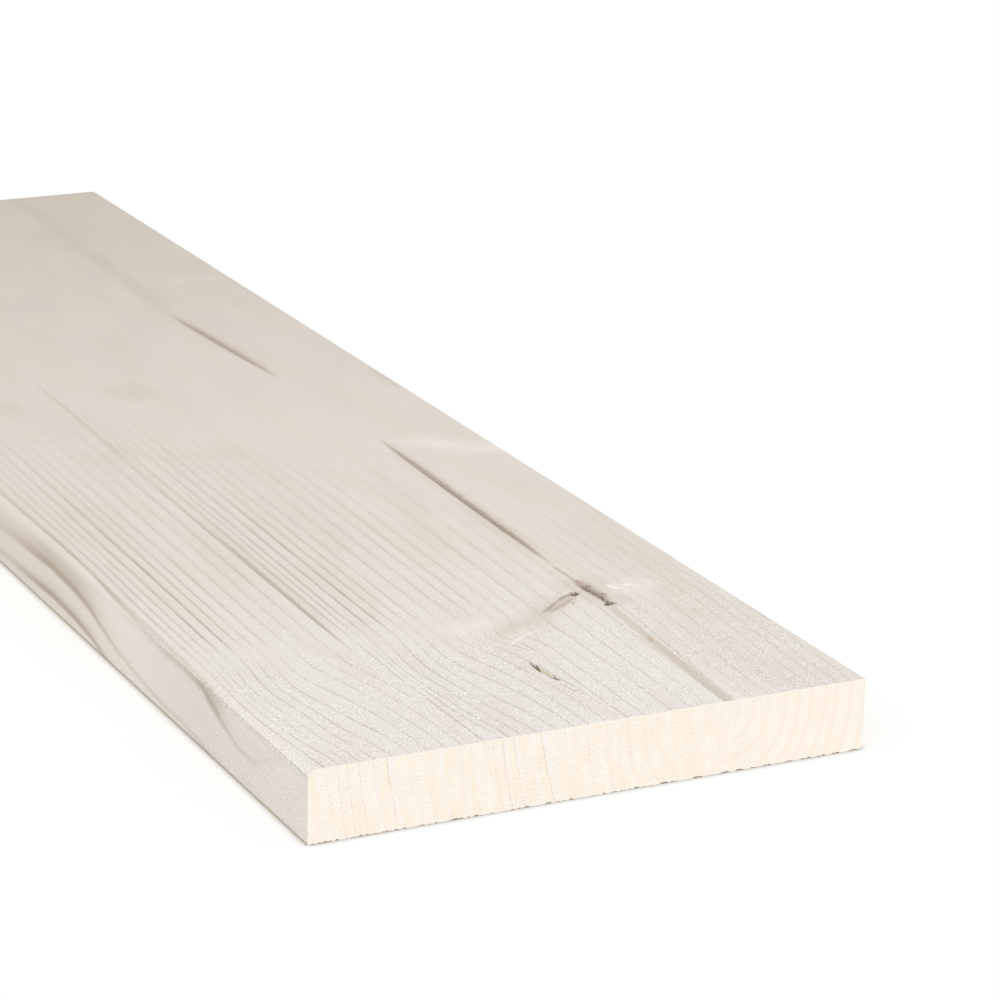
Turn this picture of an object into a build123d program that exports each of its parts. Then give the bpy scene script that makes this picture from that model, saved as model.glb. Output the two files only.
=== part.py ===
from build123d import *
from math import radians, sin, tan
import os

os.makedirs("parts", exist_ok=True)

# A sawn softwood plank, in millimetres. X runs across it, Y along the grain and Z up.
# It lies on its underside, centred on the origin, and its ring end faces -Y.

# The plank as it was sawn and cut to length
plank_length = 720
plank_width = 200
plank_thickness = 25

# The four long arrises. The left top one is rounded over, the others are nearly as sawn.
left_top_radius = 3.2
right_top_radius = 0.6
left_bottom_radius = 0.6
right_bottom_radius = 1.4

# Openings in the top face, each a slender hollow along the grain that tapers to a tip at
# both ends. A tip is measured from the left edge and from the ring end. The pith runs just
# under the face, and the saw laid it open in two long channels and at the knot.
near_pith_tips = ((155.6, 138), (160.5, 302))
near_pith_width = 2.3
far_pith_tips = ((157.6, 389), (151.5, 495))
far_pith_width = 3
knot_cleft_tips = ((155.2, 94), (155.5, 127))
knot_cleft_width = 4.2
knot_hole_tips = ((147.3, 108.6), (151.9, 111.2))
knot_hole_width = 2.6
resin_pocket_tips = ((105.6, 39), (104.9, 56))
resin_pocket_width = 2.8

# The sides of every opening leave the face at this many degrees
opening_side_angle = 60

openings = (
    (near_pith_tips, near_pith_width),
    (far_pith_tips, far_pith_width),
    (knot_cleft_tips, knot_cleft_width),
    (knot_hole_tips, knot_hole_width),
    (resin_pocket_tips, resin_pocket_width),
)
half_width = plank_width / 2
half_length = plank_length / 2

with BuildPart() as plank:
    # The sawn section, drawn once with its own radius at each arris
    with BuildSketch(Plane.XZ):
        with BuildLine():
            FilletPolyline(
                (-half_width, 0),
                (half_width, 0),
                (half_width, plank_thickness),
                (-half_width, plank_thickness),
                radius=(left_bottom_radius, right_bottom_radius, right_top_radius, left_top_radius),
                close=True,
            )
        make_face()
    extrude(amount=half_length, both=True)

    # Each opening is hollowed by a spindle whose axis lies above the face. Its belly cuts the
    # full width half way along, and its two ends run out at the tips.
    for tips, width in openings:
        near_tip, far_tip = [
            Vector(across - half_width, along - half_length, plank_thickness) for across, along in tips
        ]
        grain = (far_tip - near_tip).normalized()
        reach = (far_tip - near_tip).length / 2
        depth = width / 2 * tan(radians(opening_side_angle) / 2)
        axis_height = width / 2 / sin(radians(opening_side_angle)) - depth
        across_grain = Plane(
            origin=(near_tip + far_tip) / 2, x_dir=grain, z_dir=grain.cross(Vector(0, 0, 1))
        )
        with BuildSketch(across_grain):
            with BuildLine():
                ThreePointArc((-reach, 0), (0, -depth), (reach, 0))
                Polyline((reach, 0), (reach, axis_height), (-reach, axis_height), (-reach, 0))
            make_face()
        spindle_axis = Axis(across_grain.from_local_coords((0, axis_height, 0)), grain)
        revolve(axis=spindle_axis, mode=Mode.SUBTRACT)

plank.part.label = "plank"
export_step(plank.part, "parts/plank.step")
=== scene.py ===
# %% [markdown]
# # A sawn softwood plank
# The real thing is one piece of spruce: sawn from a log close to its pith, washed grey on
# its long faces and freshly cross-cut at the end that faces us. Everything that gives it
# its look comes from the tree it was cut from, so this lesson grows the tree first, as one
# field of yearly rings in space, and then lets every face cut through that field.

# %% Load the frame
import math
import bmesh
import bpy
import numpy as np
from mathutils import Matrix, Vector, noise


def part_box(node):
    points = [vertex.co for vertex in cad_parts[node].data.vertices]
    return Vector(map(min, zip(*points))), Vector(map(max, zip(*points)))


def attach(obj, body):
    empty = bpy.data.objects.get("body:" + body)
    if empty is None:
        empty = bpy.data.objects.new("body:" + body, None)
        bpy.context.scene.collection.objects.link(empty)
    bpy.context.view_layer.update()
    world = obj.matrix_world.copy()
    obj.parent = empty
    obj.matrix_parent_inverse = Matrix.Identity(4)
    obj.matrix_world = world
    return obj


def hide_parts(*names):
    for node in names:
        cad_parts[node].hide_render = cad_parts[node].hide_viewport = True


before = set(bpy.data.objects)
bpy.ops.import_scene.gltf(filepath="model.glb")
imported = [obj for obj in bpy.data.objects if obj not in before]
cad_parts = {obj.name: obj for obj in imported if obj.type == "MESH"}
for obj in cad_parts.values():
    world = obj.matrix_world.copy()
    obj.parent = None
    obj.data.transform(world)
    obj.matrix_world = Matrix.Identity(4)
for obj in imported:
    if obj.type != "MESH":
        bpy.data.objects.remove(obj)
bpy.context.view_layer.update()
plank_low, plank_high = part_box("plank")
print("plank, metres:", [round(high - low, 4) for low, high in zip(plank_low, plank_high)])

# %% [markdown]
# ## The marking corner
# A sawyer measures a plank from one corner: so far in from the left edge, so far along from
# the ring end, so far up from the underside, all in millimetres. Every place in this file
# is given that way, and one helper turns it into Blender's metres.

# %% Sizes in millimetres
MM = 0.001
WIDTH, LENGTH, THICKNESS = [(high - low) / MM for low, high in zip(plank_low, plank_high)]


def metres(points):
    """Points as (from the left edge, from the ring end, up), in millimetres, to the frame's metres."""
    return np.asarray(points, float) * MM + np.array(plank_low)


def smooth(value, low, high):
    """0 below low, 1 above high, and an even S between them."""
    t = np.clip((np.asarray(value, float) - low) / (high - low), 0, 1)
    return t * t * (3 - 2 * t)


# The pith wanders just under the top face: (from the ring end, from the left edge)
PITH_COURSE = ((0, 148.5), (57, 152), (94, 154.8), (138, 155.6), (302, 160.5), (389, 157.6),
               (495, 151.5), (600, 156), (720, 159))


def pith_at(along):
    return np.interp(along, *zip(*PITH_COURSE))


print("the pith lies", round(float(pith_at(0)), 1), "mm from the left edge at the ring end")

# %% [markdown]
# ## The camera
# The plank is seen from a little to its left and above, through a long lens, so its far end
# narrows only gently. The place and the three angles below put its corners where the eye
# sees them. The lens axis stays in the middle of the frame, with no shift.

# %% Camera
LENS_MM = 134.2
CAMERA_PLACE = (-0.5256, -1.3265, 0.4643)
TURNED_RIGHT, LOOKING_DOWN, ROLLED = math.radians(26.84), math.radians(18.39), math.radians(1.40)


def put(name, data):
    """A new object in the scene."""
    thing = bpy.data.objects.new(name, data)
    bpy.context.collection.objects.link(thing)
    return thing


camera = put("camera", bpy.data.cameras.new("camera"))
camera.data.lens = LENS_MM
ahead = Vector((math.sin(TURNED_RIGHT) * math.cos(LOOKING_DOWN),
                math.cos(TURNED_RIGHT) * math.cos(LOOKING_DOWN),
                -math.sin(LOOKING_DOWN)))
level_right = Vector((math.cos(TURNED_RIGHT), -math.sin(TURNED_RIGHT), 0))
level_up = level_right.cross(ahead)
right = math.cos(ROLLED) * level_right + math.sin(ROLLED) * level_up
up = right.cross(ahead)
tilt = Matrix((right, up, -ahead)).transposed().to_4x4()
camera.matrix_world = Matrix.Translation(CAMERA_PLACE) @ tilt
camera.data.clip_start, camera.data.clip_end = 0.05, 20
bpy.context.scene.camera = camera
bpy.context.scene.view_settings.view_transform = "Standard"
print("camera stands", round((Vector(CAMERA_PLACE) - plank_low).length, 2), "m from the near corner")

# %% [markdown]
# ## Sums that read like sums
# A node tree is arithmetic drawn with wires. Written node by node it is hard to read, so a
# small class wraps one output socket and gives it plus, minus, times and the rest. Each sum
# adds its Math node by itself. Finishes and Geometry Nodes are both node trees, so both use it.

# %% Wires
class Wire:
    """One output socket, for sums."""

    def __init__(self, wiring, socket):
        self.wiring, self.socket = wiring, socket

    def maths(self, operation, *others):
        return self.wiring.add("ShaderNodeMath", {"operation": operation}, (self, *others))

    def __add__(self, other):
        return self.maths("ADD", other)

    def __sub__(self, other):
        return self.maths("SUBTRACT", other)

    def __rsub__(self, other):
        return self.wiring.add("ShaderNodeMath", {"operation": "SUBTRACT"}, (other, self))

    def __mul__(self, other):
        return self.maths("MULTIPLY", other)

    def __truediv__(self, other):
        return self.maths("DIVIDE", other)

    def __pow__(self, other):
        return self.maths("POWER", other)

    __radd__ = __add__
    __rmul__ = __mul__

    def least(self, other):
        return self.maths("MINIMUM", other)

    def most(self, other):
        return self.maths("MAXIMUM", other)

    def ramp(self, low, high, first=0.0, last=1.0):
        """The first number below low, the last above high, and an even S between them."""
        return self.wiring.add("ShaderNodeMapRange", {"interpolation_type": "SMOOTHSTEP"}, {
            "Value": self, "From Min": low, "From Max": high, "To Min": first, "To Max": last})

    def hill(self, centre, reach):
        """1 at the centre, falling away to almost 0 at twice the reach."""
        off = (self - centre) / reach
        return (off * off * -1).maths("EXPONENT")

    def within(self, low, high, soft):
        """1 between low and high, with soft edges."""
        return self.ramp(low - soft, low + soft) * (1 - self.ramp(high - soft, high + soft))


# %% Node trees
class Wiring:
    """A node tree, and the tools to wire it."""

    def __init__(self, tree):
        self.tree = tree
        tree.nodes.clear()

    def add(self, kind, settings=(), inputs=(), output=0):
        """A node of this kind: its settings first, then its sockets' values or wires."""
        node = self.tree.nodes.new(kind)
        for name, value in dict(settings).items():
            setattr(node, name, value)
        pairs = inputs.items() if isinstance(inputs, dict) else enumerate(inputs)
        for key, value in pairs:
            if isinstance(value, Wire):
                self.tree.links.new(value.socket, node.inputs[key])
            else:
                node.inputs[key].default_value = value
        return Wire(self, node.outputs[output]) if node.outputs else None

    def vector(self, x, y, z):
        return self.add("ShaderNodeCombineXYZ", inputs=(x, y, z))

    def parts(self, place):
        return [self.add("ShaderNodeSeparateXYZ", inputs=[place], output=axis) for axis in range(3)]

    def noise(self, x, y, z, detail=2.0):
        """Cloudy noise from about 0.2 to 0.8, one lump to each unit of place."""
        sockets = {"Vector": self.vector(x, y, z), "Scale": 1.0, "Detail": detail}
        return self.add("ShaderNodeTexNoise", inputs=sockets)


# %% Finishes
# How blunt a brush stroke's two tips are. At 2 the stroke would be an oval.
STROKE_TIP = 4.0
# Bare wood is rough and has little gloss
ROUGHNESS, GLOSS = 0.8, 0.2


class Finish(Wiring):
    """One material."""

    def __init__(self, name):
        self.material = bpy.data.materials.new(name)
        self.material.use_nodes = True
        super().__init__(self.material.node_tree)

    def blend(self, amount, one, other, how="MIX"):
        """Colour one where amount is 0 and colour other where it is 1."""
        settings = {"data_type": "RGBA", "blend_type": how}
        return self.add("ShaderNodeMix", settings, {0: amount, 6: one, 7: other}, output=2)

    def curve(self, value, points):
        """A reading of value along straight runs between given points, both from 0 to 1."""
        wire = self.add("ShaderNodeFloatCurve", inputs={"Value": value})
        mapping = wire.socket.node.mapping
        line = mapping.curves[0]
        for place, height in points[1:-1]:
            line.points.new(place, height)
        for point, (place, height) in zip(line.points, points):
            point.location = (place, height)
            point.handle_type = "VECTOR"
        mapping.update()
        return wire

    def tints(self, value, stops):
        """A colour read off a scale of given stops, (place from 0 to 1, colour)."""
        wire = self.add("ShaderNodeValToRGB", inputs=[value])
        scale = wire.socket.node.color_ramp.elements
        for place, _ in stops[1:-1]:
            scale.new(place)
        for stop, (place, colour) in zip(scale, stops):
            stop.position, stop.color = place, colour
        return wire

    def stroke(self, place, start, end, width, soft, strength):
        """One stroke of a brush from start to end: its strength in the middle, nothing round it."""
        run = (end[0] - start[0], end[1] - start[1])
        half = math.hypot(*run) / 2 / (1 + soft) ** (1 / STROKE_TIP)
        oval = {"Vector": place, "Location": ((start[0] + end[0]) / 2, (start[1] + end[1]) / 2, 0.0),
                "Scale": (half, width / 2, 1.0), "Rotation": (0.0, 0.0, math.atan2(run[1], run[0]))}
        off = self.add("ShaderNodeMapping", {"vector_type": "TEXTURE"}, oval)
        off = self.add("ShaderNodeVectorMath", {"operation": "ABSOLUTE"}, [off])
        off = self.add("ShaderNodeVectorMath", {"operation": "POWER"}, [off, (STROKE_TIP, 1.0, 1.0)])
        off = self.add("ShaderNodeVectorMath", {"operation": "DOT_PRODUCT"}, [off, (1.0, 1.0, 0.0)], "Value")
        return off.ramp(1 - soft, 1 + soft, strength, 0.0)

    def surface(self, colour, relief, relief_mm):
        """Ends the finish in one Principled shader, with relief given from 0 to 1."""
        normal = self.add("ShaderNodeBump", inputs={"Distance": relief_mm * MM, "Height": relief})
        shader = self.add("ShaderNodeBsdfPrincipled", inputs={
            "Base Color": colour, "Roughness": ROUGHNESS, "Normal": normal, "Specular IOR Level": GLOSS})
        self.add("ShaderNodeOutputMaterial", inputs={"Surface": shader})
        return self.material


def paint(red, green, blue):
    """A colour as it looks on a screen, from 0 to 255, as the plain light that Blender adds up."""
    parts = [value / 255 for value in (red, green, blue)]
    return [part / 12.92 if part <= 0.04045 else ((part + 0.055) / 1.055) ** 2.4 for part in parts] + [1.0]


print("mid grey, paint(128, 128, 128), is", [round(part, 3) for part in paint(128, 128, 128)])

# %% Geometry Nodes
class Shaper(Wiring):
    """A Geometry Nodes tree with a named input for each of its sizes."""

    def __init__(self, name, **sizes):
        super().__init__(bpy.data.node_groups.new(name, "GeometryNodeTree"))
        sockets = self.tree.interface
        sockets.new_socket("Geometry", in_out="INPUT", socket_type="NodeSocketGeometry")
        self.sizes = {label.replace("_", " "): value for label, value in sizes.items()}
        for label, value in self.sizes.items():
            kind = "NodeSocketInt" if isinstance(value, int) else "NodeSocketFloat"
            sockets.new_socket(label, in_out="INPUT", socket_type=kind)
        sockets.new_socket("Geometry", in_out="OUTPUT", socket_type="NodeSocketGeometry")
        self.source = self.tree.nodes.new("NodeGroupInput")
        self.mesh = Wire(self, self.source.outputs[0])

    def size(self, label):
        return Wire(self, self.source.outputs[label])

    def attribute(self, name):
        return self.add("GeometryNodeInputNamedAttribute", {"data_type": "FLOAT"}, {"Name": name})

    def chance(self, low, high, number):
        """A random number for each point, from low to high."""
        sockets = {2: low, 3: high, "Seed": self.size("Seed") + number}
        return self.add("FunctionNodeRandomValue", {"data_type": "FLOAT"}, sockets, output=1)

    def give(self, shape, finish, where=1.0):
        """Sets the finish of the faces where the number is over a half."""
        chosen = self.add("FunctionNodeCompare", inputs=(where, 0.5))
        return self.add("GeometryNodeSetMaterial",
                        inputs={"Geometry": shape, "Selection": chosen, "Material": finish})

    def make_plain(self, shape, piece):
        """Ends the tree, runs it on the piece once and leaves a plain mesh there."""
        self.add("NodeGroupOutput", inputs=[shape])
        modifier = piece.modifiers.new(self.tree.name, "NODES")
        modifier.node_group = self.tree
        for socket in self.tree.interface.items_tree:
            if socket.name in self.sizes:
                modifier[socket.identifier] = self.sizes[socket.name]
        seen = piece.evaluated_get(bpy.context.evaluated_depsgraph_get())
        plain = bpy.data.meshes.new_from_object(seen)
        piece.modifiers.remove(modifier)
        piece.data = plain
        print(piece.name, "has", len(plain.polygons), "faces")

# %% [markdown]
# ## The tree inside the plank
# Each year the tree adds a ring round its pith: pale early wood first, then darker late wood
# that stops short at winter. A face cut through rings shows straight lines along the plank,
# tall arches on an edge and arcs on a cross-cut end, so drawing each face by hand would never
# line up. Here one sum gives every point of the plank its age, and all faces read that sum.
# Only the boldest arcs on the left of the cross-cut end are listed one by one, further down.

# %% The ring field
# How far each winter lies from the pith, towards the left edge, in millimetres
RING_REACH = (5, 11, 17.2, 24.4, 29.9, 35.2, 41.4, 46.2, 52.4, 58.6, 65.1, 69.7, 73.9, 78.2, 82.8, 87, 89.7,
              92.8, 97.4, 103.6, 109.3, 115.1, 121.2, 125.9, 129.7, 133.9, 138.6, 142, 145.1, 148.2, 152.1,
              155.95, 158, 161, 164.5, 168)
# Years whose late wood came out dark, with how much darker
HARD_WINTERS = ((13, 0.55), (14, 0.4), (18, 0.9), (25, 0.7), (26, 0.55), (30, 0.9), (31, 1.0), (32, 0.9))
# The rings swing along the left edge: (from the ring end, outward shift)
EDGE_SWING = ((0, 0.6), (18, 0), (42, -1.6), (57, -1.6), (86, -0.2), (100, 0), (120, -0.1), (140, -0.2),
              (165, -0.06), (190, 0.69), (205, 0.72), (230, 0.43), (285, -1.05), (720, -1.35))
# The wood that swings sideways comes in strips this wide
STRIP_MM = 55.0
# A curve node holds 0 to 1, so shifts and ring widths are divided by these before it
SHIFT_SPAN_MM, RING_SPAN_MM = 4, 10


class Tree:
    """The tree at a point: its place in the plank, how far it is from the pith and how old."""

    def __init__(self, finish):
        self.finish = finish
        place = finish.add("ShaderNodeTexCoord", output="Object")
        x, y, z = finish.parts(place)
        self.across = across = (x - plank_low[0]) / MM
        self.along = along = (y - plank_low[1]) / MM
        self.above = above = (z - plank_low[2]) / MM

        # Near the pith the rings follow its course, and further left they follow the trunk
        course = [(place / LENGTH, offset / WIDTH) for place, offset in PITH_COURSE]
        self.pith = finish.curve(along / LENGTH, course) * WIDTH
        trunk = 152 + (along - 120).most(0) * 0.02
        centre = trunk + (self.pith - trunk) * (155 - across).most(0).hill(0, 24)

        # Below the whorl of branches the outer wood swings sideways, in two strips alike
        strip = across.maths("MODULO", STRIP_MM)
        far_part = strip.ramp(19, 41)
        rise = (1 - along.ramp(0, 34)) * 3.5 - along.hill(67, 22) * 3
        swing = far_part * (1 - along.ramp(5, 80)) ** 0.5 * 9.4 + (1 - far_part) * strip.ramp(2, 12) * rise
        swing = swing * (1 - across.ramp(108, 112)) - across.within(96, 124, 9) * along.hill(84, 9) * 4.5

        # The log leans in the plank, which tips the far rings
        tipped = (above - THICKNESS) * ((centre - across) / 150).most(0) * 0.11
        side = across - centre - swing + tipped
        side = side + side.most(0) * 0.125
        height = above - 21 - along.ramp(20, 130) * 3.6
        inland = across.ramp(2, 26) * 0.8 + 0.2
        wander = (finish.noise(across / 45, along / 240, above / 45) - 0.5) * inland
        tremble = (finish.noise(across / 7, along / 45, above / 7) - 0.5) * inland
        shifts = [(place / LENGTH, shift / SHIFT_SPAN_MM + 0.5) for place, shift in EDGE_SWING]
        edge_swing = finish.curve(along / LENGTH, shifts)
        self.radius = (side * side + height * height) ** 0.5 + wander * 2 + tremble * 0.9
        self.radius = self.radius + (edge_swing - 0.5) * SHIFT_SPAN_MM * (1 - across.ramp(2, 14))

        # The winters turn a distance from the pith into an age
        years, outermost = len(RING_REACH), RING_REACH[-1]
        winters = [(reach / outermost, (year + 1) / years) for year, reach in enumerate(RING_REACH)]
        count = finish.curve(self.radius / outermost, [(0, 0)] + winters) * years
        self.age = count.maths("FRACT")
        self.year = count.maths("FLOOR")
        widths = [(reach / outermost, (reach - last) / RING_SPAN_MM)
                  for last, reach in zip((0,) + RING_REACH, RING_REACH)]
        spacing = finish.curve(self.radius / outermost, [(0, 0.5)] + widths)
        self.to_winter = (1 - self.age) * spacing * RING_SPAN_MM
        self.luck = finish.add("ShaderNodeTexWhiteNoise", {"noise_dimensions": "1D"}, {"W": self.year})
        self.hard = sum(self.year.hill(year, 0.4) * tone for year, tone in HARD_WINTERS)


print(len(RING_REACH), "winters in the field")

# %% [markdown]
# ## Marks of the branches and the pith
# A branch ran into the trunk here and the saw went through it: a dark torn knot, a small hole
# beside it, and a brown wing where the branch lay under the face. They could be cut out as
# separate pieces, but on the real plank they melt into the wood, so they are brush strokes in
# the finish, each a line with a width and soft sides. The deep ones are hollows of the skin too.

# %% Brush strokes
# (start, end, width, softness, strength), places from the left edge and from the ring end
STAINS = (
    ((148, 109), (102, 79), 10.0, 0.95, 0.40),
    ((151.5, 112.5), (121, 91), 8.6, 0.85, 0.50),
    ((155.6, 131), (156.6, 88), 14.0, 0.9, 0.42),
    ((151.5, 111), (129, 95.5), 5.4, 0.6, 0.80),
    ((159, 398), (151.2, 508), 5.6, 0.95, 0.50),
    ((155.6, 134), (161.6, 306), 5.4, 0.9, 0.50),
    ((80, 394), (108, 396), 18.0, 0.9, 0.36),
    ((38, 312), (72, 318), 24.0, 0.95, 0.22),
    ((70, 306), (110, 302), 18.0, 0.95, 0.20),
    ((30, 392), (50, 394), 16.0, 0.95, 0.26),
    ((198, 358), (198.5, 392), 5.0, 0.9, 0.45),
    ((57.6, 100), (61.0, 250), 4.6, 0.9, 0.26),
)
BROWNS = (
    ((156.2, 136), (161.3, 304), 2.8, 0.65, 0.60),
    ((158.0, 386), (151.7, 500), 3.4, 0.75, 0.52),
    ((155.4, 141), (155.7, 118), 1.4, 0.7, 0.5),
    ((155.7, 126), (156.4, 96), 4.4, 0.5, 0.66),
    ((155.2, 99.5), (157.6, 94.5), 3.0, 0.5, 0.6),
    ((151.0, 112.8), (138.0, 104.6), 1.5, 0.7, 0.55),
    ((142.5, 108.2), (128.4, 96.0), 1.2, 0.8, 0.55),
    ((149, 107.6), (131, 96.0), 0.9, 0.8, 0.50),
    ((54.8, 84), (58.4, 226), 1.3, 0.8, 0.50),
    ((60.5, 300), (62.6, 432), 1.2, 0.8, 0.24),
    ((0.6, 82), (2.2, 196), 1.3, 0.95, 0.32),
    ((160.6, 87.5), (163.4, 88.6), 1.8, 0.6, 0.26),
)
DARKS = (
    ((155.6, 119), (156.2, 100), 2.1, 0.6, 0.62),
    ((153.2, 95.9), (157.8, 97.2), 1.7, 0.5, 0.75),
    ((156.2, 100.5), (155.0, 95.4), 1.7, 0.5, 0.75),
    ((147.2, 109.2), (151.6, 111.0), 2.1, 0.4, 0.85),
    ((149.0, 111.2), (140.5, 106.6), 0.7, 0.6, 0.45),
    ((138, 103.6), (131.5, 97.6), 0.6, 0.7, 0.35),
    ((146, 103.6), (143, 100.6), 0.9, 0.6, 0.30),
    ((157.9, 107.4), (158.9, 104.8), 1.5, 0.6, 0.55),
    ((156.8, 117.2), (158.2, 114.6), 1.5, 0.6, 0.45),
    ((104.7, 37), (106.9, 24.5), 0.8, 0.8, 0.34),
    ((106.3, 36.5), (104.4, 58.0), 1.9, 0.45, 0.75),
    ((157.0, 146), (159.6, 262), 1.0, 0.8, 0.22),
    ((157.2, 402), (152.8, 486), 1.2, 0.8, 0.12),
)
PALES = (
    ((163.6, 114.6), (166.2, 108.4), 2.0, 0.6, 0.9),
    ((168.9, 112.3), (172.6, 110.9), 2.2, 0.6, 0.95),
    ((166.4, 107.6), (168.2, 106.2), 1.2, 0.6, 0.6),
    ((105, 73.5), (113.5, 79), 0.9, 0.6, 0.8),
    ((112, 78.6), (123, 84), 0.8, 0.7, 0.6),
    ((162, 298), (206, 264), 12.0, 0.95, 0.26),
    ((64.5, 250), (66.5, 322), 1.8, 0.9, 0.22),
    ((168, 551), (200, 545), 8.0, 0.95, 0.09),
    ((88, 90), (112, 98), 10.0, 0.95, 0.22),
    ((160, 106), (184, 112), 14.0, 0.95, 0.26),
)
# The pocket of resin is clear amber between two dark tips, with a pale lip on its right, and
# a trace of resin lies by the pith
AMBERS = (
    ((105.5, 43.0), (105.0, 52.0), 1.0, 0.5, 0.65),
    ((151.7, 57.5), (152.2, 63.0), 1.3, 0.6, 0.55),
)
LIPS = (((106.4, 42.0), (105.8, 53.0), 0.6, 0.6, 0.8),)
# Strokes begin at the first of these heights and are full from the second
FACE_MM = (20.5, 22.5)
# Only stains broader than this are dragged loosely
BROAD_MM = 9.5
STAIN, BROWN, DARK = paint(204, 190, 174), paint(166, 147, 132), paint(112, 96, 82)
PALE, AMBER, LIP = paint(252, 247, 240), paint(184, 152, 104), paint(244, 238, 212)


class Brush:
    """Lays strokes on a face whose fibres drag the brush a little."""

    def __init__(self, finish, tree):
        self.finish, self.tree, self.face = finish, tree, tree.above.ramp(*FACE_MM)
        self.fine, self.loose = self.dragged(1.1, 3.2, 1.3, 2.2), self.dragged(16, 30, 14, 26)

    def dragged(self, across_mm, along_mm, by_across, by_along):
        """Places that wander in lumps of one size by up to another."""
        lumps = self.tree.across / across_mm, self.tree.along / along_mm
        fray, drag = [self.finish.noise(*lumps, seed, 3.0) - 0.5 for seed in (4.2, 8.4)]
        return self.finish.vector(self.tree.across + fray * by_across, self.tree.along + drag * by_along, 0.0)

    def lay(self, colour, strokes, tint, loose=False):
        """The colour with the strokes over it, and how much of it they cover."""
        cover = self.face * 0
        for start, end, width, soft, strength in strokes:
            place = self.loose if loose and width > BROAD_MM else self.fine
            cover = cover.most(self.finish.stroke(place, start, end, width, soft, strength))
        return self.finish.blend(cover * self.face, colour, tint), cover


print(sum(len(strokes) for strokes in (STAINS, BROWNS, DARKS, PALES, AMBERS, LIPS)), "strokes")

# %% [markdown]
# ## Washed long faces
# The long faces have stood in the weather: the wood is a greyed beige, the late wood shows
# as thin lines, sharp on their bark side and soft on the other, and raised fibres catch the
# light as fine specks. Towards the far end the lines soften and the brown comes through.

# %% The washed finish
WASH = ((0, (233, 227, 220)), (95, (230, 224, 216)), (165, (227, 220, 211)), (300, (223, 215, 206)),
        (500, (214, 205, 195)), (650, (206, 197, 186)), (720, (203, 194, 182)))
SPECK_MM = 0.08


def late_wood(tree):
    """How dark the late wood is, and a second number: 1 on the left edge and 0 further in."""
    across, along = tree.across, tree.along
    on_edge = 1 - across.ramp(0.4, 2.6)
    weathered = along.ramp(85, 118)
    far = (along + (across - 60).most(0) * 1.2).ramp(150, 430)
    dense = across.within(-6, 34, 6).most(across.within(54, 86, 4))
    worn = tree.finish.noise(across / 3, along / 22, tree.above / 3).ramp(0.3, 0.6) * 0.6 + 0.5
    line_mm = (far * 1.2 + weathered * 0.6 + along.ramp(110, 220) * 0.6 + 0.75) * (1 - on_edge * 0.55)
    line = 1 - (tree.to_winter / line_mm).ramp(0.2, 1.0)
    skirt = tree.age.ramp(0.25, 1.0) ** 1.7

    whorl = along.within(86, 110, 9) * (1 - across.ramp(100, 140))
    plain = (tree.luck * 0.24 + 0.26) * (1 - weathered * 0.56) * (1 - across.ramp(100, 160) * 0.3)
    bold = weathered * (1 - along.ramp(120, 240) * 0.5)
    plain = plain + dense * bold * 0.12 + tree.hard * bold * 0.22
    soft = weathered * (tree.hard * 0.12 + 0.04) + 0.03
    face = (line * plain * worn + skirt * soft) * (1 - whorl * 0.6) * (1 - far * 0.95)

    # On the left edge the late wood is cut at a slant, and it is dark only in two places
    burnt = (along.hill(80, 14) * tree.above.ramp(8, 13)).most(along.within(180, 256, 26))
    fading = (tree.age.ramp(0.15, 1.0) ** 2) * (burnt * 0.6 + 0.1)
    core = line.most(fading).most(1 - tree.age.ramp(0.0, 0.12))
    edge = core * (burnt * 0.40 + 0.22) * (along.ramp(15, 60) * 0.85 + 0.15)
    return face * (1 - on_edge) + edge * on_edge, on_edge


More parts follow.
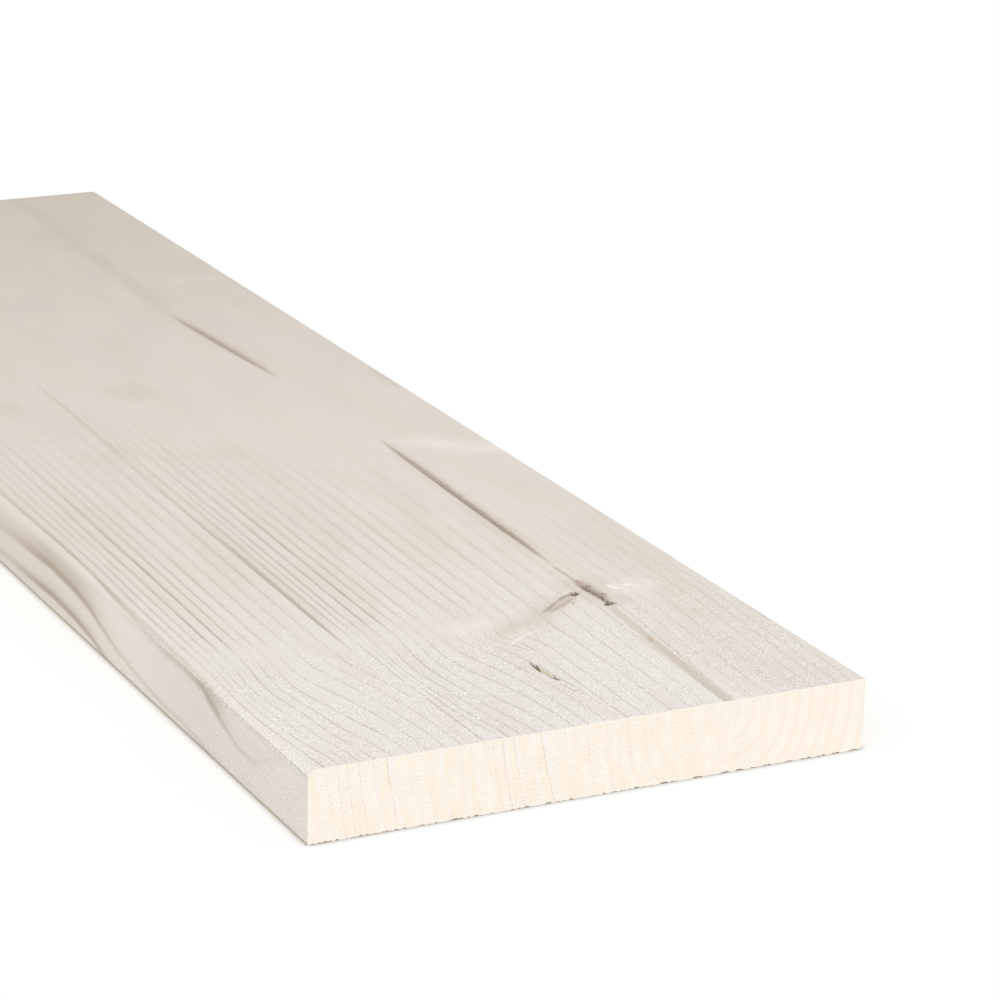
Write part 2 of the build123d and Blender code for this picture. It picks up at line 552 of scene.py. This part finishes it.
def washed_finish():
    finish = Finish("washed_spruce")
    tree = Tree(finish)
    across, along, above = tree.across, tree.along, tree.above

    # The wash, browner towards the far end and on the right in front, in soft clouds
    colour = finish.tints(along / LENGTH, [(place / LENGTH, paint(*tint)) for place, tint in WASH])
    dull = across.ramp(146, 185) * (1 - along.ramp(90, 260) * 0.9) * 0.45
    colour = finish.blend(dull, colour, paint(240, 236, 232), "MULTIPLY")
    clouds = finish.noise(across / 20, along / 60, above / 20, 3.0)
    colour = finish.blend(clouds.ramp(0.42, 0.66) * 0.5, colour, paint(249, 249, 250), "MULTIPLY")
    warm = finish.noise(across / 14 + 7, along / 70, above / 14, 2.0)
    warmth = warm.ramp(0.45, 0.65) * (0.5 - along.ramp(150, 400) * 0.3)
    colour = finish.blend(warmth, colour, paint(251, 246, 240), "MULTIPLY")
    whorl = along.within(88, 108, 10) * (1 - across.ramp(100, 140))
    dark, on_edge = late_wood(tree)
    on_side = on_edge * (1 - above.ramp(20.4, 22.6))
    # Painted light: the left edge under its arris is painted paler in front, fading out by about 230 mm, in
    # place of light the side face does not get; further along it is painted darker.
    painted_edge_light = on_side * (0.7 - along.ramp(30, 130) * 0.35 - along.ramp(150, 230) * 0.35)
    colour = finish.blend(painted_edge_light, colour, paint(250, 244, 236))
    colour = finish.blend(on_side * along.ramp(130, 240) * 0.4, colour, paint(212, 203, 192))
    colour = finish.blend(dark.least(0.8), colour, paint(150, 127, 103))

    # The pith lies close under the face in front and shows as a light-brown strip
    off_pith = across - tree.pith
    streaks = finish.noise(across / 0.7, along / 30, 2.0)
    strip = off_pith.ramp(-2.6, -1.4) * (1 - off_pith.ramp(1.1, 1.7)) * (1 - along.ramp(90, 99))
    strip = strip * above.ramp(15, 22) * (0.7 + streaks * 0.6) * (1 - along.ramp(20, 95) * 0.3)
    colour = finish.blend(strip * 0.58, colour, paint(192, 174, 156))
    ghost = off_pith.hill(0, 4.5) * along.ramp(440, 540) * above.ramp(15, 22)
    colour = finish.blend(ghost * 0.22, colour, paint(180, 162, 142))
    brush = Brush(finish, tree)
    colour, stain = brush.lay(colour, STAINS, STAIN, loose=True)
    colour, brown = brush.lay(colour, BROWNS, BROWN)
    colour, shade = brush.lay(colour, DARKS, DARK)

    # Inside the hollows the wood is dark with old resin, and painted shade darkens the valleys between the
    # ribs
    hollow = finish.add("ShaderNodeAttribute", {"attribute_name": "hollow"}, output="Fac")
    colour = finish.blend(hollow.ramp(0.2, 2.0) * 0.8, colour, paint(110, 93, 76))
    valley = finish.add("ShaderNodeAttribute", {"attribute_name": "valley"}, output="Fac").maths("ABSOLUTE")
    # Painted shade in the rib valleys, fading towards the far end
    valley_shade = valley.ramp(0.4, 1.0) * (1 - along.ramp(60, 220) * 0.9)
    colour = finish.blend(valley_shade * 0.85, colour, paint(160, 148, 137))
    colour, _ = brush.lay(colour, AMBERS, AMBER)
    colour, _ = brush.lay(colour, LIPS, LIP)
    colour, _ = brush.lay(colour, PALES, PALE)

    # Fine raised fibres, pale specks of painted highlight where they catch the light and dark ones, in
    # patches
    specks = finish.noise(across / 0.3, along / 0.75, above / 0.4, 1.0)
    patches = finish.noise(across / 6, along / 16, 3.0).ramp(0.34, 0.6) * 0.65 + 0.35
    bare = 1 - (brown + shade + stain * 1.5 + strip * 0.7 + whorl * 0.4 + on_side * 0.9).least(1)
    near = (1 - along.ramp(30, 200) * 0.97) * patches * bare
    colour = finish.blend(specks.ramp(0.53, 0.66) * near * 0.9, colour, paint(255, 254, 252))
    colour = finish.blend((1 - specks).ramp(0.52, 0.68) * near * 0.5, colour, paint(186, 174, 162))
    return finish.surface(colour, specks, SPECK_MM)


washed = washed_finish()
print("washed finish:", len(washed.node_tree.nodes), "nodes")

# %% [markdown]
# ## The cross-cut ends
# A saw has just opened the ends, so their wood is cream and carries no wash. The same rings
# cross it as peach bands of late wood. Left of the pith the boldest winters are listed one by one,
# some with a chalky band beside them, and the early wood is pricked with fine pores.

# %% The cross-cut finish
# Winters that stand out on the ring end: (from the left edge at the top, and at the bottom,
# how dark, how wide the chalky early wood to the right of it is)
END_ARCS = ((2.4, 6.2, 0.1, 1.6), (6.0, 9.8, 0.25, 0), (9.9, 13.3, 0.6, 0), (13.0, 16.8, 0.9, 0.5),
            (17.2, 20.8, 0.7, 1.2), (22.3, 25.5, 0.1, 1.0), (26.6, 31.1, 0.9, 3.0), (33.6, 38.0, 0.2, 0.8),
            (44.0, 48.0, 0.15, 1.4), (51.8, 54.6, 0.5, 0.9), (55.4, 59.9, 0.2, 1.5), (63.0, 67.7, 0.6, 0.5),
            (66.6, 70.8, 0.9, 0.7), (70.5, 75.2, 0.8, 1.2), (75.8, 80.8, 0.15, 1.3), (80.0, 85.8, 0.95, 3.0),
            (88.5, 93.0, 0.2, 0.8), (96.5, 100.5, 0.15, 1.8), (103.5, 107.5, 0.2, 0.8))
PORE_MM = 0.05


def cut_finish():
    finish = Finish("fresh_cross_cut")
    tree = Tree(finish)
    across, above = tree.across, tree.above
    right, left = across.ramp(146, 156), 1 - across.ramp(128, 146)
    clouds = finish.noise(across / 4, above / 12, 2.0, 3.0)
    cloudy = clouds.ramp(0.36, 0.64) * (1 - right * 0.4) + right * 0.15
    colour = finish.blend(cloudy, paint(254, 246, 236), paint(253, 241, 226))
    ripe = tree.age.ramp(0.3, 0.9) * left
    colour = finish.blend(ripe * 0.3, colour, paint(253, 238, 214))
    depth = (1 - above / THICKNESS) ** 1.2
    waver = (finish.noise(across / 9, above / 4, 7.0) - 0.5) * 1.2
    dark, chalk = across * 0, across * 0
    for top, bottom, darkness, chalk_mm in END_ARCS:
        beyond = across + waver - (depth * (bottom - top) + top)
        dark = dark.most((1 - beyond.maths("ABSOLUTE").ramp(0.05, 0.36)) * darkness)
        if chalk_mm:
            chalk = chalk.most(beyond.within(0.2, 0.2 + chalk_mm * 0.8, 0.3) * (1.1 - depth * 0.5))
    smeared = finish.noise(across / 3, above / 5, 9.0).ramp(0.34, 0.58) * 0.6 + 0.4
    colour = finish.blend(chalk * smeared * 0.75, colour, paint(250, 246, 244))
    band = (1 - tree.to_winter.ramp(0.2, 2.3)) * (tree.age.ramp(0.0, 0.15) * 0.3 + 0.7) * right
    colour = finish.blend(band * 0.42, colour, paint(250, 229, 212))
    inner = (1 - tree.to_winter.ramp(0.2, 2.0)) * across.within(100, 146, 12) * 0.4
    colour = finish.blend(inner, colour, paint(251, 234, 219))
    broken = finish.noise(across / 4, above / 5, 5.0).ramp(0.36, 0.6) * 0.7 + 0.3
    line = (1 - tree.to_winter.ramp(0.05, 0.45)) * (1 - across.ramp(100, 130)) * tree.luck * 0.2
    colour = finish.blend((line + dark * 0.5) * broken, colour, paint(222, 180, 148))
    pores = finish.noise(across / 0.42, above / 0.5, 1.0, 1.0)
    patch = finish.noise(across / 6, above / 9, 6.0).ramp(0.36, 0.54) * (1 - across.ramp(156, 172))
    colour = finish.blend(pores.ramp(0.58, 0.66) * patch * 0.55, colour, paint(222, 200, 176))
    colour = finish.blend((1 - pores).ramp(0.56, 0.66) * patch, colour, paint(255, 255, 250))
    scores = finish.noise(across / 22, above / 0.45, 3.0, 1.0)
    colour = finish.blend(scores.ramp(0.54, 0.66) * 0.3, colour, paint(255, 252, 246))
    # The sawn end is painted paler along a plumb line near the pith, and along its lower, upper and left rims
    # as painted highlight.
    plumb = across.hill(149.3, 0.35) * (1 - above.ramp(14, 19))
    rim_highlight = (1 - above.ramp(0.3, 1.2)).most(above.ramp(24.2, 24.9)).most(1 - across.ramp(0.3, 1.4))
    colour = finish.blend((plumb + rim_highlight).least(1) * 0.4, colour, paint(255, 250, 243))
    return finish.surface(colour, pores, PORE_MM)


cut = cut_finish()
print("cross-cut finish:", len(cut.node_tree.nodes), "nodes")

# %% [markdown]
# ## The plank's skin
# A box with a few bevels would have the right outline and nothing to look at. This skin is
# laid like a boat's planking: one closed section after another along the grain, each a row
# of points, with the rows close together where something happens and far apart where nothing
# does. Where a close row meets a wide one, a zip of triangles joins them.

# %% Rows of points
def graded(*stretches):
    """Places along a line, from stretches of (start, end, about how far apart)."""
    places = [stretches[0][0]]
    for start, end, spacing in stretches:
        count = max(1, round((end - start) / spacing))
        places += [start + (end - start) * (step + 1) / count for step in range(count)]
    return np.array(places, float)


class Skin:
    """Points and faces, gathered row by row."""

    def __init__(self):
        self.points, self.faces = [], []

    def row(self, points, first=None, last=None):
        """Adds a row of points. Its first or last point may be one that is there already."""
        points = [tuple(point) for point in points]
        inner = points[first is not None:len(points) - (last is not None)]
        start = len(self.points)
        self.points += inner
        ends = [first] if first is not None else [], [last] if last is not None else []
        return ends[0] + list(range(start, start + len(inner))) + ends[1]

    def reach(self, row):
        """How far along its row each point lies, from 0 to 1."""
        places = np.array([self.points[index] for index in row])
        steps = np.linalg.norm(np.diff(places, axis=0), axis=1)
        return np.concatenate([[0], np.cumsum(steps)]) / steps.sum()

    def zip(self, one, other):
        """Joins two rows that run the same way, with squares, or with triangles where they differ."""
        if len(one) == len(other):
            self.faces += [(one[i], one[i + 1], other[i + 1], other[i]) for i in range(len(one) - 1)]
            return
        near, far = self.reach(one), self.reach(other)
        i = j = 0
        while i < len(one) - 1 or j < len(other) - 1:
            if j == len(other) - 1 or (i < len(one) - 1 and near[i + 1] <= far[j + 1]):
                self.faces.append((one[i], one[i + 1], other[j]))
                i += 1
            else:
                self.faces.append((one[i], other[j + 1], other[j]))
                j += 1


# %% [markdown]
# ## Where the plank is worn, torn and open
# The saw laid the pith open in two long channels, tore the knot, and cut through one pocket of
# resin. At the ring end it also broke small chips out of the lower edge. All of these are real
# hollows, so each is a sum that says how deep the face lies at a place.

# %% Hollows in the top face and chips in the lower edge
# (start, end, width, depth, how ragged)
CHANNELS = (((155.9, 138), (161.0, 302), 2.6, 0.8, 0.35), ((157.8, 389), (151.7, 495), 3.2, 0.6, 0.35))
CLEFTS = (((155.6, 122), (156.3, 104), 3.6, 0.7, 0.4), ((156.4, 108), (155.4, 97), 1.6, 0.7, 0.35),
          ((153.4, 95.8), (157.6, 97.2), 1.7, 1.4, 0.35), ((147.4, 108.8), (151.4, 111.2), 2.1, 1.8, 0.35),
          ((105.9, 38.5), (104.6, 56), 2.2, 2.0, 0.12))
CHIP_MM, CHIP_REACH_MM = 0.4, 3.5
# A hollow's half width at its tips, so that no sum divides by nothing
TIP_MM = 0.01


def grain_noise(x, y, seed):
    """Smooth noise from -1 to 1 at each of the places given."""
    return np.array([noise.noise(Vector((a, b, seed))) for a, b in zip(x, y)])


def hollow_at(x, y):
    """How far below the top face the wood lies, in millimetres."""
    depth = np.zeros(len(x))
    for number, (start, end, width, deep, torn) in enumerate(CHANNELS + CLEFTS):
        start, end = np.array(start, float), np.array(end, float)
        run = end - start
        length = np.linalg.norm(run)
        along = ((x - start[0]) * run[0] + (y - start[1]) * run[1]) / length ** 2
        off = ((x - start[0]) * run[1] - (y - start[1]) * run[0]) / length
        near = (abs(off) < width) & (along > 0) & (along < 1)
        along, off = along[near], off[near]
        ragged = 1 + torn * grain_noise(along * length / 5, off * 0.8, number * 7.3)
        taper = np.sqrt(4 * along * (1 - along))
        inside = 1 - (off / (width / 2 * taper * ragged + TIP_MM)) ** 2
        depth[near] = np.maximum(depth[near], deep * taper * np.sqrt(np.clip(inside, 0, 1)))
    return depth


def chip_at(x, y):
    """How far the lower ring-end edge is broken away upwards, in millimetres."""
    broad = grain_noise(x / 3.1, 0 * x, 3.1)
    small = grain_noise(x / 1.1, 0 * x, 8.7)
    chip = smooth(broad + 0.8 * small, -0.2, 0.5) * (0.8 + 0.9 * small)
    return np.clip(CHIP_MM * chip, 0, CHIP_MM) * (1 - smooth(y, 0, CHIP_REACH_MM))


KNOT_LINE = np.linspace(90, 130, 80)
print("deepest at the knot:", round(float(hollow_at(0 * KNOT_LINE + 156.1, KNOT_LINE).max()), 2), "mm")

# %% [markdown]
# ## Sections of the plank
# The arrises are not alike: the left top one was rounded over and the others are nearly as
# sawn, so the section's four sides meet at the middles of four small arcs. The rows on the
# two edges lie half a rib apart, ready for the ribs that the planer left there.

# %% One section
LEFT_TOP_R, RIGHT_TOP_R, LEFT_BOTTOM_R, RIGHT_BOTTOM_R = 3.2, 0.6, 0.6, 1.4
RIB_MM = 0.9
TOP_WEAR_MM, END_WEAR_MM = 0.08, 0.35
# Where the points lie closest across the top face. They bend with the pith from there.
CLOSE_ROWS_MM = 155.6


def arc(radius, start_degrees, steps):
    """Half of a rounded arris: offsets from its centre, over 45 degrees from the start."""
    angles = np.radians(start_degrees + np.linspace(0, 45, steps + 1))
    return radius * np.column_stack([np.cos(angles), np.sin(angles)])


def section(flat_top, flat_bottom):
    """Four open sides, (x, z) points anticlockwise seen from the ring end, in millimetres."""
    high = THICKNESS - TOP_WEAR_MM
    left_bottom = np.array((LEFT_BOTTOM_R, LEFT_BOTTOM_R))
    right_bottom = np.array((WIDTH - RIGHT_BOTTOM_R, RIGHT_BOTTOM_R))
    right_top = np.array((WIDTH - RIGHT_TOP_R, high - RIGHT_TOP_R))
    left_top = np.array((LEFT_TOP_R, high - LEFT_TOP_R))
    up_right = np.arange(RIGHT_BOTTOM_R, high - RIGHT_TOP_R - RIB_MM / 4, RIB_MM / 2)[1:]
    up_left = np.arange(LEFT_BOTTOM_R, high - LEFT_TOP_R - RIB_MM / 4, RIB_MM / 2)[1:]
    bottom = np.vstack([left_bottom + arc(LEFT_BOTTOM_R, 225, 2),
                        np.column_stack([flat_bottom, np.zeros(len(flat_bottom))]),
                        right_bottom + arc(RIGHT_BOTTOM_R, 270, 2)])
    right = np.vstack([right_bottom + arc(RIGHT_BOTTOM_R, 315, 2),
                       np.column_stack([np.full(len(up_right), WIDTH), up_right]),
                       right_top + arc(RIGHT_TOP_R, 0, 2)])
    top = np.vstack([right_top + arc(RIGHT_TOP_R, 45, 2),
                     np.column_stack([flat_top[::-1], np.full(len(flat_top), high)]),
                     left_top + arc(LEFT_TOP_R, 90, 5)])
    left = np.vstack([left_top + arc(LEFT_TOP_R, 135, 6),
                      np.column_stack([np.zeros(len(up_left)), up_left[::-1]]),
                      left_bottom + arc(LEFT_BOTTOM_R, 180, 2)])
    return bottom, right, top, left


def placed(side, along):
    """A side's points at a place along the plank, with its hollows and chips."""
    x, z = side[:, 0].copy(), side[:, 1].copy()
    y = np.full(len(x), float(along))
    x += (pith_at(along) - CLOSE_ROWS_MM) * smooth(x, 130, 145) * (1 - smooth(x, 168, 185))
    upper = smooth(z, THICKNESS - 1.2, THICKNESS - 0.3)
    z -= hollow_at(x, y) * upper
    lower = (1 - smooth(z, 0, 2.5)) * smooth(x, 0, 3) * (1 - smooth(x, WIDTH - 3, WIDTH))
    z += chip_at(x, y - END_WEAR_MM) * lower
    return np.column_stack([x, y, z])


WIDE_TOP = graded((4, 100, 4), (100, 110, 0.7), (110, 144, 4), (144, 153, 0.6), (153, 159, 0.3),
                  (159, 165, 0.8), (165, 199, 4.2))
WIDE_BOTTOM = graded((1.4, 198, 16))
END_TOP = graded((4, 199, 0.6))
END_BOTTOM = np.linspace(1.4, 198, len(END_TOP) + 3)
CLOSE_STATIONS = graded((END_WEAR_MM, 0.8, 0.15), (0.8, 2.4, 0.4), (2.4, 6, 0.9))
MAIN_STATIONS = graded((7.5, 36, 2.4), (36, 60, 0.8), (60, 92, 2.4), (92, 126, 0.6), (126, 138, 1.5),
                       (138, 302, 3), (302, 389, 8), (389, 495, 3.5), (495, 713, 14))
FAR_STATIONS = graded((715, 719, 2), (719, 720, 0.5))
main_points = sum(len(side) - 1 for side in section(WIDE_TOP, WIDE_BOTTOM))
print(len(MAIN_STATIONS), "sections of", main_points, "points")

# %% [markdown]
# ## Closing the skin
# The sections are joined side by side, and each end is closed by a sheet of squares stretched
# between its four sides. The sawn end is never quite flat: the saw left faint level scores
# and a fine roughness.

# %% Lay the sections
def lay_section(skin, sides, along):
    rows = []
    for number, side in enumerate(sides):
        first = rows[-1][-1] if rows else None
        last = rows[0][0] if number == 3 else None
        rows.append(skin.row(placed(side, along), first, last))
    return rows


def close_end(skin, rows, bulge):
    """A sheet of squares between the four sides of an end section."""
    bottom, right, top, left = rows
    top, left = top[::-1], left[::-1]
    edge = [np.array([skin.points[index] for index in row]) for row in (bottom, right, top, left)]
    across = np.linspace(0, 1, len(bottom))[:, None]
    last = bottom
    for step in range(1, len(left)):
        if step == len(left) - 1:
            row = top
        else:
            rise = step / (len(left) - 1)
            straight = edge[0] * (1 - rise) + edge[2] * rise
            lean = (edge[3][step] - straight[0]) * (1 - across) + (edge[1][step] - straight[-1]) * across
            points = straight + lean
            points[:, 1] += bulge(points[:, 0], points[:, 2])
            row = skin.row(points[1:-1])
            row = [left[step]] + row + [right[step]]
        skin.zip(last, row)
        last = row


def sawn_relief(x, z):
    """Saw scores and fine roughness on the ring end, in millimetres."""
    return 0.05 * grain_noise(x / 30, z / 0.7, 5.5) + 0.04 * grain_noise(x / 1.3, z / 1.3, 9.1)


skin = Skin()
close_sides, main_sides = section(END_TOP, END_BOTTOM), section(WIDE_TOP, WIDE_BOTTOM)
far_sides = section(WIDE_TOP, np.linspace(1.4, 198, len(WIDE_TOP) + 3))
laid = [lay_section(skin, close_sides, along) for along in CLOSE_STATIONS]
laid += [lay_section(skin, main_sides, along) for along in MAIN_STATIONS]
laid += [lay_section(skin, far_sides, along) for along in FAR_STATIONS]
for near_rows, far_rows in zip(laid, laid[1:]):
    for near_row, far_row in zip(near_rows, far_rows):
        skin.zip(near_row, far_row)
close_end(skin, laid[0], sawn_relief)
close_end(skin, laid[-1], lambda x, z: 0 * x)

mesh = bpy.data.meshes.new("plank_skin")
mesh.from_pydata([tuple(point) for point in metres(skin.points)], [], skin.faces)
builder = bmesh.new()
builder.from_mesh(mesh)
bmesh.ops.recalc_face_normals(builder, faces=builder.faces)
open_edges = sum(not edge.is_manifold for edge in builder.edges)
builder.to_mesh(mesh)
builder.free()
print(len(mesh.polygons), "faces,", open_edges, "open edges")

# %% [markdown]
# ## Ribs from the planer
# The two edges went past a cutter with a toothed face, which ruled them from end to end with
# ribs a little under a millimetre apart. The skin has a row of points for each crest and each
# valley, so one small tree of Geometry Nodes makes the ribs: it pushes every other row into
# the wood, a little more here and a little less there, and less towards the far end.

# %% Mark the valleys and the hollows
EDGE_SLACK_MM = 0.2


def keep_on_points(name, values):
    mesh.attributes.new(name, "FLOAT", "POINT").data.foreach_set("value", values)


spots = np.array(skin.points)
half_ribs = np.round((spots[:, 2] - LEFT_BOTTOM_R) / (RIB_MM / 2))
half_ribs_right = np.round((spots[:, 2] - RIGHT_BOTTOM_R) / (RIB_MM / 2))
on_left = (spots[:, 0] < EDGE_SLACK_MM) & (half_ribs % 2 == 1)
on_right = (spots[:, 0] > WIDTH - EDGE_SLACK_MM) & (half_ribs_right % 2 == 1)
keep_on_points("valley", on_left.astype(float) - on_right)
keep_on_points("hollow", hollow_at(spots[:, 0], spots[:, 1]) * smooth(spots[:, 2], 16, 20))

# %% Mark the sawn faces
# Sawn faces look along the grain, at an end. The ribbed edges aren't smoothed.
SAWN_FACING, EDGE_FACING, END_REACH_MM, SHARP_DEGREES = 0.6, 0.9, 2, 35


def of_faces(name):
    values = np.empty(len(mesh.polygons) * 3, np.float32)
    mesh.polygons.foreach_get(name, values)
    return values.reshape(-1, 3)


facing, middle = of_faces("normal"), of_faces("center")
at_end = abs(middle[:, 1]) > plank_high[1] - END_REACH_MM * MM
sawn = (abs(facing[:, 1]) > SAWN_FACING) & at_end
mesh.attributes.new("sawn", "FLOAT", "FACE").data.foreach_set("value", sawn.astype(np.float32))
mesh.polygons.foreach_set("use_smooth", abs(facing[:, 0]) <= EDGE_FACING)
mesh.set_sharp_from_angle(angle=math.radians(SHARP_DEGREES))
print(int(sawn.sum()), "sawn faces")

# %% The rib tree
body = put("plank_body", mesh)
ribs = Shaper("planer_ribs", Depth=0.26 * MM, Unevenness=0.4, Seed=4)
x, y, z = ribs.parts(ribs.add("GeometryNodeInputPosition"))
along_mm, above_mm = (y - plank_low[1]) / MM, z / MM
luck = ribs.noise(along_mm / 28, above_mm / 1.6, ribs.size("Seed")).ramp(0.3, 0.7)
deep = ribs.size("Depth") * (1 - ribs.size("Unevenness") * luck) * (1 - along_mm.ramp(70, 240) * 0.75)
push = ribs.vector(ribs.attribute("valley") * deep, 0.0, 0.0)
ribbed = ribs.add("GeometryNodeSetPosition", inputs={"Geometry": ribs.mesh, "Offset": push})
ribbed = ribs.add("GeometryNodeRealizeInstances", inputs=[ribbed])
ribbed = ribs.give(ribs.give(ribbed, washed), cut, ribs.attribute("sawn"))
ribs.make_plain(ribbed, body)
body.data.calc_loop_triangles()
print(len(body.data.materials), "finishes and", len(body.data.loop_triangles), "triangles on the body")

# %% [markdown]
# ## Splinters
# Where the saw broke out of the ring end it left splinters hanging from the lower edge. They
# are all alike and only their size and lean differ, so Geometry Nodes strews slim cones over
# points along a line, each turned and sized by chance from a fixed seed.

# %% Splinters
# The line they start from: in from the sawn face, and up from the underside
LINE_IN_MM, LINE_UP_MM = 0.7, 0.9
strew = Shaper("edge_splinters", Count=90, Length=1.1 * MM, Thickness=0.5 * MM, Seed=7)
line_y, line_z = plank_low[1] + LINE_IN_MM * MM, LINE_UP_MM * MM
line = strew.add("GeometryNodeMeshLine", {"mode": "END_POINTS"}, {
    "Count": strew.size("Count"), "Start Location": (plank_low[0] + 2 * MM, line_y, line_z),
    "Offset": (plank_high[0] - 3 * MM, line_y, line_z)})
strayed = strew.vector(strew.chance(-3 * MM, 3 * MM, 1), strew.chance(-0.3 * MM, 0.8 * MM, 2), 0.0)
line = strew.add("GeometryNodeSetPosition", inputs={"Geometry": line, "Offset": strayed})
cone = strew.add("GeometryNodeMeshCone", inputs={
    "Vertices": 4, "Radius Bottom": strew.size("Thickness") / 2, "Depth": strew.size("Length")})
turned = strew.vector(strew.chance(2.5, 3.3, 3), strew.chance(-0.7, 0.7, 4), strew.chance(0, 3, 5))
turned = strew.add("FunctionNodeEulerToRotation", inputs=[turned])
sized = strew.vector(strew.chance(0.5, 1.4, 6), strew.chance(0.5, 1.2, 7), strew.chance(0.4, 1.2, 8))
shape = strew.add("GeometryNodeInstanceOnPoints", inputs={
    "Points": line, "Instance": cone, "Rotation": turned, "Scale": sized})
shape = strew.add("GeometryNodeRealizeInstances", inputs=[shape])

# A splinter that leans out past the sawn face or the underside is pressed back
x, y, z = strew.parts(strew.add("GeometryNodeInputPosition"))
inside = strew.vector(x, y.most(plank_low[1]), z.most(plank_low[2]).least(plank_high[2]))
shape = strew.add("GeometryNodeSetPosition", inputs={"Geometry": shape, "Position": inside})
splinters = put("edge_splinters", bpy.data.meshes.new("edge_splinters"))
strew.make_plain(strew.give(shape, cut), splinters)

# %% [markdown]
# ## Ground and light
# The plank lies on plain white. One broad soft light from above and the white all round it
# leave its colours as they are painted, and the ground keeps a faint shadow at its edges.

# %% Ground
# How much of each colour the ground takes from its own white, so that its shadow is faint and warm
GROUND_GLOW = (0.90, 0.78, 0.60, 1.0)
GROUND_SHADE = tuple(1 - part for part in GROUND_GLOW[:3]) + (1.0,)
# The painted contact shadow: its darkest colour and how far it reaches
CONTACT_SHADOW, CONTACT_MM = (0.11, 0.07, 0.03, 1.0), 3.0
GROUND_M = 6.0
SKY = 0.9


def seen_directly(wiring):
    """1 where the camera, a gloss or a glass looks straight at a thing, 0 where it only lights others."""
    rays = [wiring.add("ShaderNodeLightPath", output=name)
            for name in ("Is Camera Ray", "Is Glossy Ray", "Is Transmission Ray")]
    return rays[0] + rays[1] + rays[2]


earth = Finish("white_ground")
plain = earth.add("ShaderNodeBsdfDiffuse", inputs={"Color": paint(250, 250, 250)})
open_sky = earth.add("ShaderNodeAmbientOcclusion", {"samples": 4}, {"Distance": CONTACT_MM * MM}, "AO")
# Painted shadow: within a few millimetres of the plank, ambient occlusion darkens the ground's glow and shade
# into a dark contact line.
contact_shadow = (1 - open_sky).ramp(0.02, 0.9)
glow = earth.add("ShaderNodeEmission", inputs={"Color": earth.blend(contact_shadow, GROUND_GLOW, CONTACT_SHADOW)})
shade = earth.add("ShaderNodeBsdfDiffuse", inputs={"Color": earth.blend(contact_shadow, GROUND_SHADE, CONTACT_SHADOW)})
looked_at = earth.add("ShaderNodeAddShader", inputs=(glow, shade))
mixed = earth.add("ShaderNodeMixShader", inputs=(seen_directly(earth), plain, looked_at))
earth.add("ShaderNodeOutputMaterial", inputs={"Surface": mixed})
corners = [(x * GROUND_M, y * GROUND_M, 0) for x, y in ((-1, -1), (1, -1), (1, 1), (-1, 1))]
ground_mesh = bpy.data.meshes.new("ground")
ground_mesh.from_pydata(corners, [], [(0, 1, 2, 3)])
ground = put("ground", ground_mesh)
ground_mesh.materials.append(earth.material)
print("ground", 2 * GROUND_M, "m wide")

# %% Sky
world = bpy.data.worlds.new("white_room")
bpy.context.scene.world = world
world.use_nodes = True
room = Wiring(world.node_tree)
lighting, backdrop = [room.add("ShaderNodeBackground", inputs={"Color": (1, 1, 1, 1), "Strength": bright})
                      for bright in (SKY, 1.0)]
room.add("ShaderNodeOutputWorld", inputs={"Surface": room.add(
    "ShaderNodeMixShader", inputs=(seen_directly(room), lighting, backdrop))})

# %% Lamp
SUN_SHARE, SUN_DEGREES = 0.13, 30
SUN_AIM = Vector((0.55, 0.35, -0.75)).normalized()
lamp = put("window_light", bpy.data.lights.new("window_light", "SUN"))
lamp.data.energy = math.pi * SUN_SHARE / -SUN_AIM.z
lamp.data.angle = math.radians(SUN_DEGREES)
lamp.rotation_mode = "QUATERNION"
lamp.rotation_quaternion = SUN_AIM.to_track_quat("-Z", "Y")
print("lamp", round(lamp.data.energy, 2), "and sky", SKY)

# %% [markdown]
# ## Hand over
# The dressed plank takes the plain one's place and moves with its body. Its size must still
# be the size it was drawn to.

# %% Finish
for piece in (body, splinters):
    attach(piece, "root")
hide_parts("plank")
